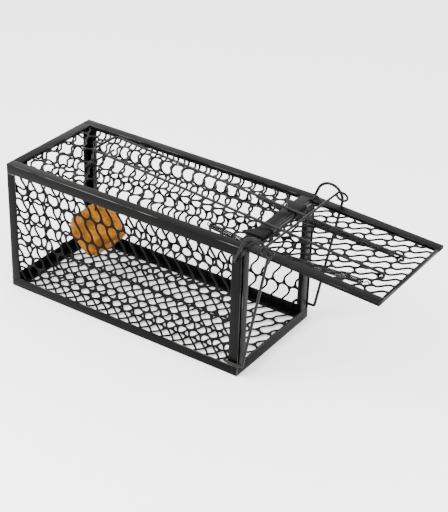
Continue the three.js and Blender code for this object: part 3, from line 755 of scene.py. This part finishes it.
def coil_tree():
    """Close turns of spring wire round a path."""
    number = "NodeSocketFloat"
    tree, given, result = geometry_tree(
        "Coil Spring",
        [
            ("Coil Radius", number, 0.0022), ("Wire Radius", number, 0.0004),
            ("Spacing", number, 0.001), ("Steps", "NodeSocketInt", 1000),
        ],
    )
    path = linked(tree, "GeometryNodeMeshToCurve", {"Mesh": given["Geometry"]})
    even = linked(
        tree, "GeometryNodeResampleCurve",
        {"Curve": path.outputs[0], "Count": given["Steps"]},
    )
    walked = tree.nodes.new("GeometryNodeSplineParameter").outputs["Length"]
    turns = math_node(tree, "DIVIDE", walked, given["Spacing"])
    angle = math_node(tree, "MULTIPLY", turns, math.tau)
    normal = tree.nodes.new("GeometryNodeInputNormal").outputs[0]
    tangent = tree.nodes.new("GeometryNodeInputTangent").outputs[0]
    side = linked(
        tree, "ShaderNodeVectorMath", {0: tangent, 1: normal}, operation="CROSS_PRODUCT"
    ).outputs[0]
    reach = []
    for direction, wave in ((normal, "COSINE"), (side, "SINE")):
        size = math_node(tree, "MULTIPLY", math_node(tree, wave, angle), given["Coil Radius"])
        reach.append(
            linked(
                tree, "ShaderNodeVectorMath", {0: direction, "Scale": size}, operation="SCALE"
            ).outputs[0]
        )
    offset = linked(tree, "ShaderNodeVectorMath", {0: reach[0], 1: reach[1]}, operation="ADD")
    wound = linked(
        tree, "GeometryNodeSetPosition", {"Geometry": even.outputs[0], "Offset": offset.outputs[0]}
    )
    section = linked(
        tree, "GeometryNodeCurvePrimitiveCircle",
        {"Resolution": 6, "Radius": given["Wire Radius"]},
    )
    coil = linked(
        tree, "GeometryNodeCurveToMesh",
        {"Curve": wound.outputs[0], "Profile Curve": section.outputs[0], "Fill Caps": True},
    )
    return end_tree(tree, coil.outputs[0], given, result)


def line_mesh(points, closed):
    """A mesh of points joined in a line or a loop."""
    mesh = bpy.data.meshes.new("path")
    edges = [(k, k + 1) for k in range(len(points) - 1)]
    if closed:
        edges.append((len(points) - 1, 0))
    mesh.from_pydata([tuple(point) for point in points], edges, [])
    return mesh


def grown(name, base, tree, finish, **inputs):
    """Runs a Geometry Nodes tree on a mesh and returns the plain mesh it makes."""
    helper = bpy.data.objects.new(name, base)
    bpy.context.scene.collection.objects.link(helper)
    modifier = helper.modifiers.new("Nodes", "NODES")
    modifier.node_group = tree
    values = {key.replace("_", " "): value for key, value in inputs.items()}
    values["Material"] = bpy.data.materials[finish]
    for item in tree.interface.items_tree:
        if item.item_type == "SOCKET" and item.in_out == "INPUT" and item.name in values:
            modifier[item.identifier] = values[item.name]
    evaluated = helper.evaluated_get(bpy.context.evaluated_depsgraph_get())
    mesh = bpy.data.meshes.new_from_object(evaluated)
    bpy.data.objects.remove(helper)
    bpy.data.meshes.remove(base)
    return mesh


# ---- Mesh panels ----


def opening_outline(settings, pitch, row, slant):
    """Outline of one opening: two round ends joined by a slanting waist."""
    radius = (pitch - settings.strand) / 2
    overlap = math.sqrt((2 * radius + settings.spine) ** 2 - (pitch / 2) ** 2) - 2 * radius
    half = (row - overlap) / 2
    end = half - radius
    points = []
    for sign in (1, -1):
        for step in range(settings.side_steps):
            part = step / settings.side_steps
            eased = part * part * (3 - 2 * part)
            slope = slant * 6 * part * (1 - part) / (2 * end)
            inset = settings.strand / 2 * (math.sqrt(1 + slope * slope) - 1)
            along = slant * (eased - 0.5) + radius - inset
            points.append((sign * along, sign * end * (2 * part - 1)))
        for step in range(settings.arc_steps):
            angle = math.pi * step / settings.arc_steps
            along = slant / 2 + radius * math.cos(angle)
            points.append((sign * along, sign * (end + radius * math.sin(angle))))
    return [Vector((along, across, 0.0)) for along, across in points], abs(slant) / 2 + radius, half


# Each panel by the name of its CAD node, in millimetres: the pitch and height of a row, the slant
# of an opening, where one opening is centred, and the plane that the rows run and climb in.
CAGE_PANELS = {
    "left_mesh": dict(pitch=12.9, row=25.7, slant=-8.0, start=(6.0, 17.1), plane="XZ"),
    "right_mesh": dict(pitch=12.9, row=25.7, slant=8.2, start=(6.0, 15.2), plane="XZ"),
    "top_mesh": dict(pitch=13.0, row=24.4, slant=-8.0, start=(61.3, 0.0), plane="XY"),
    "floor_mesh": dict(pitch=12.8, row=23.9, slant=8.0, start=(61.3, -1.1), plane="XY"),
    "rear_mesh": dict(pitch=13.0, row=23.4, slant=-8.0, start=(68.0, 0.0), plane="ZY"),
}
DOOR_PANEL = dict(pitch=11.7, row=20.75, slant=10.0, start=(0.0, 16.4))
PLANES = {
    "XZ": ((1, 0, 0), (0, 0, 1)),
    "XY": ((1, 0, 0), (0, 1, 0)),
    "ZY": ((0, 0, 1), (0, 1, 0)),
}


def panel_mesh(name, settings, low, high, pitch, row, slant, start):
    """Expanded mesh between two corners, along its spines and across them, in metres."""
    outline, half_length, half_height = opening_outline(settings, pitch, row, slant)
    first_row = math.floor((low[1] - start[1]) / row)
    rows = math.ceil((high[1] - start[1]) / row) - first_row + 1
    shift = slant + pitch / 2
    mesh = grown(
        name, line_mesh(outline, True), bpy.data.node_groups["Expanded Mesh"], "Painted mesh",
        Pitch=pitch, Row=row, Row_Shift=shift,
        Start_Along=start[0] + first_row * shift, Start_Across=start[1] + first_row * row,
        Columns=math.ceil((high[0] - low[0]) / pitch) + 5, Rows=rows,
        Half_Length=half_length, Half_Height=half_height,
        Low_Along=low[0], High_Along=high[0], Low_Across=low[1], High_Across=high[1],
        Border=settings.border, Thickness=settings.thickness,
    )
    if not mesh.polygons:
        raise RuntimeError(f"{name} has no faces")
    return mesh


def placed_panel(mesh, along, across, origin):
    """Turns a panel so that its spines run along one direction and its rows across another."""
    along, across = Vector(along), Vector(across)
    normal = along.cross(across)
    turn = Matrix((along, across, normal)).transposed().to_4x4()
    mesh.transform(Matrix.Translation(origin) @ turn)
    smooth_by_angle(mesh, 40.0)
    mark_wear_and_highlight(mesh, 0.0)
    return mesh


# ---- Operators ----


class TRAP_OT_finishes(bpy.types.Operator):
    """Make the paint, wire, spring and bait materials"""

    bl_idname = "trap.finishes"
    bl_label = "Finishes"

    def execute(self, context):
        trap = context.scene.trap
        wear_and_highlight_group()
        grain_group()
        paint, bright = tuple(trap.finish.paint), tuple(trap.finish.bright)
        wire = tuple(trap.finish.wire)
        metal_finish(
            "Black paint", paint, bright,
            amount=0.5, roughness=0.34, grain_scale=900.0, specular=0.05,
        )
        metal_finish(
            "Painted mesh", tuple(0.8 * part for part in paint), bright,
            amount=0.2, roughness=0.32, grain_scale=1200.0, specular=0.04,
        )
        metal_finish(
            "Blackened wire", wire, bright,
            amount=0.3, roughness=0.26, grain_scale=1500.0, specular=0.12,
            metallic=0.06, bump=0.03,
        )
        metal_finish(
            "Spring wire", tuple(0.6 * part for part in wire), bright,
            amount=0.3, roughness=0.2, grain_scale=1500.0, specular=0.2,
            metallic=0.06, bump=0.02,
        )
        bait_finish(trap.bait)
        return {"FINISHED"}


class TRAP_OT_strips(bpy.types.Operator):
    """Round the folds of the cage's strips, the hinge leaves and the door's hems"""

    bl_idname = "trap.strips"
    bl_label = "Strips"

    def execute(self, context):
        sizes = context.scene.trap.frame
        for nodes, ending, body in (
            (STRIP_NODES, "_strip", "cage"), (DOOR_STRIP_NODES, "_hem", "door")
        ):
            for node in nodes:
                add_piece(node + ending, folded_copy(node, sizes.fold), "Black paint", [node], body)
        return {"FINISHED"}


class TRAP_OT_panels(bpy.types.Operator):
    """Make the expanded mesh of the cage and the door"""

    bl_idname = "trap.panels"
    bl_label = "Mesh Panels"

    def execute(self, context):
        sizes = context.scene.trap.mesh
        expanded_mesh_tree()
        for node, panel in CAGE_PANELS.items():
            low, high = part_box(node)
            along, across = (Vector(direction) for direction in PLANES[panel["plane"]])
            normal = along.cross(across)
            rear = Vector((REAR_X, 0, 0))
            start = panel["start"]
            mesh = panel_mesh(
                node, sizes,
                (low.dot(along), low.dot(across)), (high.dot(along), high.dot(across)),
                panel["pitch"] * MM, panel["row"] * MM, panel["slant"] * MM,
                (start[0] * MM + rear.dot(along), start[1] * MM),
            )
            back = low if sum(normal) > 0 else high
            origin = normal * back.dot(normal)
            mesh = placed_panel(mesh, along, across, origin)
            add_piece(node + "_panel", mesh, "Painted mesh", [node], "cage")
        mesh = panel_mesh(
            "door_mesh", sizes,
            (-DOOR_MESH_HALF_WIDTH * MM, DOOR_MESH_START * MM),
            (DOOR_MESH_HALF_WIDTH * MM, DOOR_MESH_END * MM),
            DOOR_PANEL["pitch"] * MM, DOOR_PANEL["row"] * MM, DOOR_PANEL["slant"] * MM,
            tuple(value * MM for value in DOOR_PANEL["start"]),
        )
        mesh = placed_panel(mesh, (0, 1, 0), (1, 0, 0), Vector((0, 0, sizes.thickness / 2)))
        mesh.transform(DOOR_PLACE)
        add_piece("door_mesh_panel", mesh, "Painted mesh", ["door_mesh"], "door")
        return {"FINISHED"}


class TRAP_OT_guides(bpy.types.Operator):
    """Bend the two guide wires and the lock bar"""

    bl_idname = "trap.guides"
    bl_label = "Guide Wires and Lock Bar"

    def execute(self, context):
        sizes = context.scene.trap.wire
        radius = sizes.guide_wire / 2
        crook = sizes.guide_crook / MM
        foot_x, foot_z = GUIDE_FOOT["end_x"], GUIDE_FOOT["z"]
        centre_x = foot_x + (CROOK_Z - foot_z) * math.tan(GUIDE_LEAN) - crook / math.cos(GUIDE_LEAN)
        for word, side in SIDES:
            def on_crook(degrees):
                angle = math.radians(degrees)
                return cage_point(
                    centre_x + crook * math.cos(angle), side * GUIDE_Y,
                    CROOK_Z + crook * math.sin(angle),
                )

            foot = bent(
                [
                    cage_point(GUIDE_FOOT["start_x"], side * GUIDE_FOOT["start_y"], foot_z),
                    cage_point(GUIDE_FOOT["start_x"], side * GUIDE_Y, foot_z),
                    cage_point(foot_x, side * GUIDE_Y, foot_z),
                    on_crook(CROOK_START),
                ],
                GUIDE_BEND * MM,
            )
            arc = [
                on_crook(CROOK_START + CROOK_TURN * step / CROOK_STEPS)
                for step in range(1, CROOK_STEPS)
            ]
            tail = bent(
                [
                    on_crook(CROOK_START + CROOK_TURN),
                    cage_point(GUIDE_TAIL["x"], side * GUIDE_Y, GUIDE_TAIL["z"]),
                    cage_point(GUIDE_TAIL["x"], side * GUIDE_TAIL["y"], GUIDE_TAIL["z"]),
                ],
                GUIDE_BEND * MM,
            )
            mesh = wire_mesh(foot + arc + tail, radius=radius, sides=sizes.sides)
            add_piece(f"guide_wire_{word}_bent", mesh, "Blackened wire", [f"guide_wire_{word}"])
        bar_x = foot_x - LOCK_BAR_BACK + (LOCK_BAR_Z - foot_z) * math.tan(GUIDE_LEAN)
        back = Vector((-math.cos(LOCK_EYE_TILT), 0, math.sin(LOCK_EYE_TILT)))
        halves = []
        for _, side in SIDES:
            centre = cage_point(bar_x, side * GUIDE_Y, LOCK_BAR_Z)
            outward = Vector((0, side, 0))
            halves.append(
                circle_points(
                    centre, sizes.lock_ring, back, outward, 0, LOCK_EYE_TURN, LOCK_EYE_STEPS
                )
            )
        path = list(reversed(halves[0])) + halves[1]
        mesh = wire_mesh(path, radius=sizes.lock_wire / 2, sides=sizes.sides)
        add_piece("lock_bar_bent", mesh, "Blackened wire", ["lock_bar"], "lock_bar")
        return {"FINISHED"}


class TRAP_OT_rods(bpy.types.Operator):
    """Bend the set rod and the bait hook, and lay the straight hinge and pivot wires"""

    bl_idname = "trap.rods"
    bl_label = "Set Rod and Hook"

    def execute(self, context):
        sizes = context.scene.trap.wire
        radius = sizes.wire / 2
        rear_u = ROD_REACH - ROD_LENGTH
        rear_h = ROD_SEAT + ROD_LENGTH * math.tan(ROD_RISE)
        half_rod = (
            (ROD_REACH - ROD_TOE["length"], ROD_TOE["depth"]), (ROD_REACH, ROD_HOLE_DEPTH),
            (ROD_REACH, ROD_SEAT), (rear_u, rear_h),
        )
        corners = [door_point(u, -ROD_HALF_WIDTH, height) for u, height in half_rod]
        corners += [door_point(u, ROD_HALF_WIDTH, height) for u, height in reversed(half_rod)]
        ends = [
            bent(corners[:4], ROD_FOOT_BEND * MM)[:-1], bent(corners[4:], ROD_FOOT_BEND * MM)[1:]
        ]
        rear = bent(corners[2:6], ROD_REAR_BEND * MM, 12)[1:-1]
        mesh = wire_mesh(ends[0] + rear + ends[1], radius=sizes.rod_wire / 2, sides=sizes.sides)
        add_piece("set_rod_bent", mesh, "Blackened wire", ["set_rod"], "door")

        straight_wire("hinge_wire", "hinge_wire_round", radius, sizes.sides)
        pivot = straight_wire(
            "trigger_pivot_wire", "trigger_pivot_wire_round", radius, sizes.sides
        )

        low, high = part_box("bait_hook")
        hook_y = (low.y + high.y) / 2
        top = high.z - radius
        eye = HOOK_EYE * MM
        stem = [
            Vector((high.x, hook_y, top - HOOK_CATCH["drop"] * MM)),
            Vector((high.x - HOOK_CATCH["length"] * MM, hook_y, top)),
            Vector((pivot.x, hook_y, top)), Vector((pivot.x, hook_y, pivot.z + eye)),
        ]
        shank = [
            Vector((pivot.x, hook_y, pivot.z - eye)), Vector((pivot.x, hook_y, low.z)),
        ]
        loop = circle_points(
            Vector((pivot.x, hook_y, pivot.z)), eye, Vector((1, 0, 0)), Vector((0, 0, 1))
        )
        mesh = joined_meshes(
            "bait_hook",
            wire_mesh(bent(stem, HOOK_BEND * MM), radius=radius, sides=sizes.sides),
            wire_mesh(loop, radius=radius, sides=sizes.sides, closed=True),
            wire_mesh(shank, radius=radius, sides=sizes.sides),
        )
        add_piece("bait_hook_bent", mesh, "Blackened wire", ["bait_hook"], "trigger")
        return {"FINISHED"}


class TRAP_OT_springs(bpy.types.Operator):
    """Wind the two door springs"""

    bl_idname = "trap.springs"
    bl_label = "Springs"

    def execute(self, context):
        sizes = context.scene.trap.spring
        tree = coil_tree()
        for word, rear_y, front_y in SPRING_Y:
            rear = cage_point(SPRING_REAR["x"], rear_y, SPRING_REAR["z"])
            front = door_point(SPRING_FRONT["along"], front_y, SPRING_FRONT["depth"])
            share = (FRONT_X - rear.x) / (front.x - rear.x)
            turn_y = rear.y + (front.y - rear.y) * share
            turn = Vector(
                (FRONT_X - SPRING_TURN["back"] * MM, turn_y, CAGE_TOP - SPRING_TURN["drop"] * MM)
            )
            start = rear + (turn - rear).normalized() * SPRING_HOOK["space"] * MM
            end = front + (turn - front).normalized() * SPRING_HOOK["space"] * MM
            coil_path = bent([start, turn, end], SPRING_TURN["bend"] * MM, 10)
            span = sum((b - a).length for a, b in zip(coil_path, coil_path[1:]))
            mesh = grown(
                "coil", line_mesh(coil_path, False), tree, "Spring wire",
                Coil_Radius=(sizes.coil - sizes.wire) / 2, Wire_Radius=sizes.wire / 2,
                Spacing=sizes.spacing, Steps=int(span / sizes.spacing * sizes.turn_steps),
            )
            mark_wear_and_highlight(mesh, 0.0)
            hooks = []
            for tip, root in ((rear, start), (front, end)):
                out = (tip - root).normalized()
                loop = circle_points(
                    tip - out * SPRING_HOOK["inset"] * MM, SPRING_HOOK["radius"] * MM,
                    -out, Vector((0, 0, 1)), 0, SPRING_HOOK["turn"], 16,
                )
                shank = root - out * SPRING_HOOK["shank"] * MM
                hooks.append(wire_mesh([shank, *loop], radius=sizes.wire / 2, sides=8))
            whole = joined_meshes(f"spring_{word}", mesh, *hooks)
            piece = add_piece(f"spring_{word}_coil", whole, "Spring wire", [f"spring_{word}"], None)
            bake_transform(piece)
        return {"FINISHED"}


# The flattened sides of the bait: which way each one faces, and its distance from the middle as
# a share of the lump's half size.
BAIT_FLATS = (
    ((0.85, -0.1, -0.75), 0.62), ((-0.2, -1, 0.25), 0.84), ((-0.9, 0.2, 0.6), 0.82),
    ((0.6, -0.5, 0.8), 0.88), ((0.1, 0.9, -0.3), 0.85), ((-0.6, -0.6, -0.7), 0.86),
    ((0.2, 0.1, 1.0), 0.88), ((1.0, 0.3, 0.2), 0.88), ((-0.7, 0.8, 0.1), 0.8),
    ((0.6, 0.9, 0.5), 0.84),
)
BAIT_FLAT_BLEND = 14
BAIT_SWELL = dict(mean=1.03, height=0.20, scale=1.9, seed=(3.1, 0.4, 7.7))
BAIT_FILL = 1.06
BAIT_LUMP_SCALE = 120.0


class TRAP_OT_bait(bpy.types.Operator):
    """Shape the lump of bait"""

    bl_idname = "trap.bait"
    bl_label = "Bait"

    def execute(self, context):
        sizes = context.scene.trap.bait
        low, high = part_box("bait")
        centre, half = (low + high) / 2, (high - low) / 2
        work = bmesh.new()
        bmesh.ops.create_icosphere(work, subdivisions=5, radius=1.0)
        flats = [(Vector(normal).normalized(), distance) for normal, distance in BAIT_FLATS]
        seed, blend = Vector(BAIT_SWELL["seed"]), BAIT_FLAT_BLEND
        for vertex in work.verts:
            way = vertex.co.normalized()
            swell = noise.noise(way * BAIT_SWELL["scale"] + seed)
            radius = BAIT_SWELL["mean"] + BAIT_SWELL["height"] * swell
            for normal, distance in flats:
                facing = way.dot(normal)
                if facing > 0.05:
                    limit = distance / facing
                    near = math.exp(-blend * radius) + math.exp(-blend * limit)
                    radius = -math.log(near) / blend
            spot = way * radius
            place = Vector(spot[k] * half[k] * BAIT_FILL for k in range(3))
            lumps = noise.fractal(place * BAIT_LUMP_SCALE, 0.9, 2.0, 4)
            vertex.co = centre + place + way * lumps * sizes.roughness * 0.5
        mesh = plain_mesh("bait", work)
        smooth_by_angle(mesh, 80.0)
        add_piece("bait_lump", mesh, "Dried bait", ["bait"], "trigger")
        return {"FINISHED"}


FLOOR_REACH = 6.0
FLOOR_DROP = 0.4 * MM
WORLD_STRENGTH = 2.8
LAMP_TARGET = (0.0, 0.0, 0.07)
# Each lamp's name, place and size in metres, and its share of the light's power.
LAMPS = (
    ("key", (-0.5, -0.7, 1.1), 0.7, 1.0),
    ("fill", (1.0, -0.5, 0.8), 0.8, 0.45),
    ("back", (1.1, 0.8, 1.1), 0.8, 0.4),
)
# Where the camera stands from the middle of the cage, how far that middle lies off its axis,
# and its lens.
CAMERA_ANGLES = dict(azimuth=32.887, elevation=30.502, roll=1.9625)
CAMERA_DISTANCE, CAMERA_RIGHT, CAMERA_DOWN = 1.36563, 0.06334, 0.0146
CAMERA_LENS, CAMERA_SENSOR = 113.185, 36.0
CAMERA_NEAR, CAMERA_FAR = 0.05, 50.0


class TRAP_OT_stage(bpy.types.Operator):
    """Set the floor, the lights and the camera"""

    bl_idname = "trap.stage"
    bl_label = "Stage"

    def execute(self, context):
        sizes = context.scene.trap.stage
        mesh = bpy.data.meshes.new("floor")
        corners = [
            (x * FLOOR_REACH, y * FLOOR_REACH, 0) for x, y in ((-1, -1), (1, -1), (1, 1), (-1, 1))
        ]
        mesh.from_pydata(corners, [], [(0, 1, 2, 3)])
        floor = bpy.data.objects.new("floor", mesh)
        floor.location.z = -FLOOR_DROP
        context.scene.collection.objects.link(floor)
        material, _, shader, _ = empty_material("Pale floor")
        shader.inputs["Base Color"].default_value = (*sizes.floor, 1.0)
        shader.inputs["Roughness"].default_value = 0.9
        mesh.materials.append(material)

        world = bpy.data.worlds.new("Studio")
        context.scene.world = world
        world.use_nodes = True
        background = world.node_tree.nodes["Background"]
        background.inputs["Color"].default_value = (1.0, 1.0, 1.0, 1.0)
        background.inputs["Strength"].default_value = WORLD_STRENGTH

        target = Vector(LAMP_TARGET)
        for name, place, size, power in LAMPS:
            lamp = bpy.data.lights.new(name, "AREA")
            lamp.shape, lamp.size = "SQUARE", size
            lamp.energy = sizes.light * power
            light = bpy.data.objects.new(name, lamp)
            light.location = place
            light.rotation_euler = (target - Vector(place)).to_track_quat("-Z", "Y").to_euler()
            context.scene.collection.objects.link(light)

        azimuth, elevation, roll = (math.radians(angle) for angle in CAMERA_ANGLES.values())
        back = Vector(
            (
                math.sin(azimuth) * math.cos(elevation),
                -math.cos(azimuth) * math.cos(elevation),
                math.sin(elevation),
            )
        )
        right = (-back).cross(Vector((0, 0, 1))).normalized()
        up = right.cross(-back)
        rolled_right = right * math.cos(roll) + up * math.sin(roll)
        rolled_up = up * math.cos(roll) - right * math.sin(roll)
        cage_middle = Vector(((REAR_X + FRONT_X) / 2, 0, CAGE_TOP / 2))
        place = (
            cage_middle + back * CAMERA_DISTANCE
            + rolled_right * CAMERA_RIGHT - rolled_up * CAMERA_DOWN
        )
        lens = bpy.data.cameras.new("camera")
        lens.sensor_fit, lens.sensor_width, lens.lens = "HORIZONTAL", CAMERA_SENSOR, CAMERA_LENS
        lens.clip_start, lens.clip_end = CAMERA_NEAR, CAMERA_FAR
        camera = bpy.data.objects.new("camera", lens)
        turn = Matrix((rolled_right, rolled_up, back)).transposed().to_4x4()
        camera.matrix_world = Matrix.Translation(place) @ turn
        context.scene.collection.objects.link(camera)
        context.scene.camera = camera
        return {"FINISHED"}


STEPS = (
    TRAP_OT_finishes, TRAP_OT_strips, TRAP_OT_panels, TRAP_OT_guides,
    TRAP_OT_rods, TRAP_OT_springs, TRAP_OT_bait, TRAP_OT_stage,
)


class TRAP_PT_panel(bpy.types.Panel):
    """The trap's pieces and settings"""

    bl_idname = "TRAP_PT_panel"
    bl_label = "Live Catch Trap"
    bl_space_type = "VIEW_3D"
    bl_region_type = "UI"
    bl_category = "Trap"

    def draw(self, context):
        for step in STEPS:
            self.layout.operator(step.bl_idname)
        trap = context.scene.trap
        for name in ("frame", "mesh", "wire", "spring", "bait", "finish", "stage"):
            group = getattr(trap, name)
            box = self.layout.box()
            box.label(text=name.title())
            for key in group.__annotations__:
                box.prop(group, key)


CLASSES = (
    TrapFrameSettings, TrapMeshSettings, TrapWireSettings, TrapSpringSettings,
    TrapBaitSettings, TrapFinishSettings, TrapStageSettings, TrapSettings,
    *STEPS, TRAP_PT_panel,
)


def register():
    """Registers the classes and the settings."""
    for cls in CLASSES:
        bpy.utils.register_class(cls)
    bpy.types.Scene.trap = PointerProperty(type=TrapSettings)


def unregister():
    """Removes the settings and the classes."""
    del bpy.types.Scene.trap
    for cls in reversed(CLASSES):
        bpy.utils.unregister_class(cls)


def main():
    """Builds every piece in order."""
    register()
    for step in STEPS:
        group, name = step.bl_idname.split(".")
        getattr(getattr(bpy.ops, group), name)()


if __name__ == "__main__":
    main()
